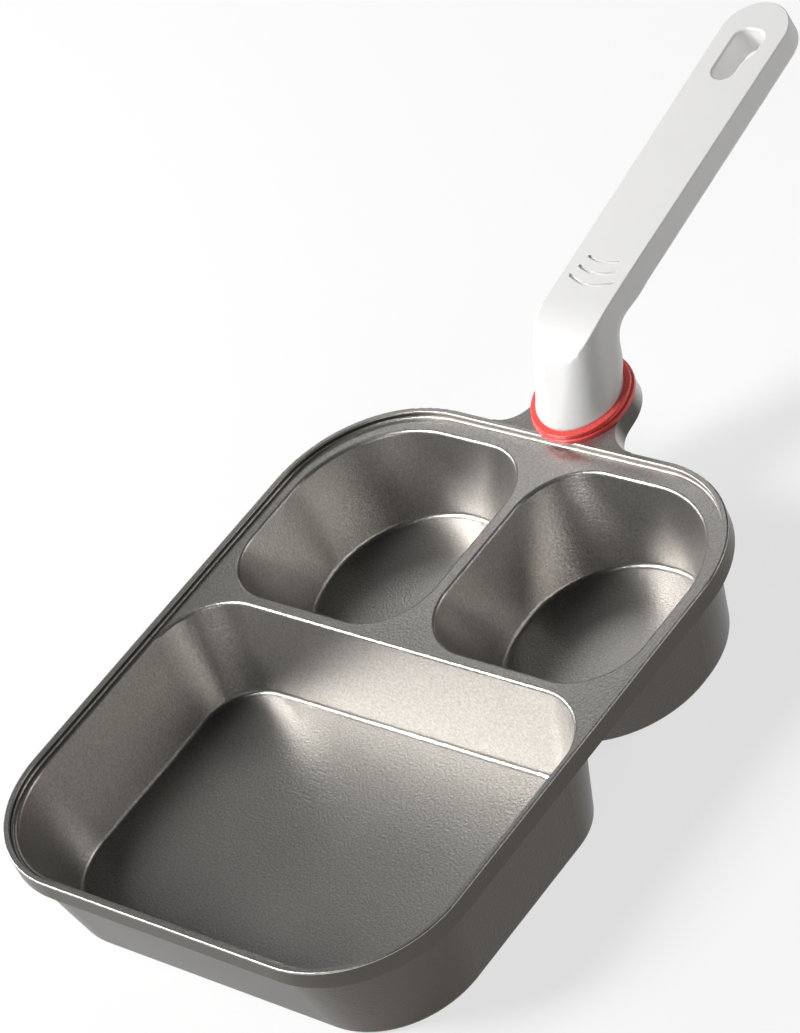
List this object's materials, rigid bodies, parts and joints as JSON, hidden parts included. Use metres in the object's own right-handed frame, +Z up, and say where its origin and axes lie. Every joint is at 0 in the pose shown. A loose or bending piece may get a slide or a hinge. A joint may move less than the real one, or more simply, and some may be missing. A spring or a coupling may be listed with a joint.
{
  "type": "divided frying pan",
  "caption": "Deep rectangular divided frying pan: one large tapered well, two small rounded wells, a flat rim and a raised straight handle with a hanging hole.",
  "frame": {"origin": "middle of the pan's outline, on the plane that the wells' feet stand on", "axes": "+Z up; +Y from the large well to the handle and along it; +X to the right, seen from the large well towards the handle"},
  "size_m": [0.2, 0.4131, 0.1015],
  "materials": {
    "casting": "satin titanium-grey non-stick coat with a fine grain",
    "handle_plastic": "fine matt white",
    "ring_rubber": "satin red silicone",
    "insert_brass": "turned",
    "fastener_steel": "zinc plated"
  },
  "bodies": {
    "root": {"pan_body": "casting", "neck_ring": "ring_rubber", "handle": "handle_plastic", "handle_insert": "insert_brass", "handle_screw": "fastener_steel", "spring_washer": "fastener_steel", "flat_washer": "fastener_steel"}
  },
  "joints": []
}
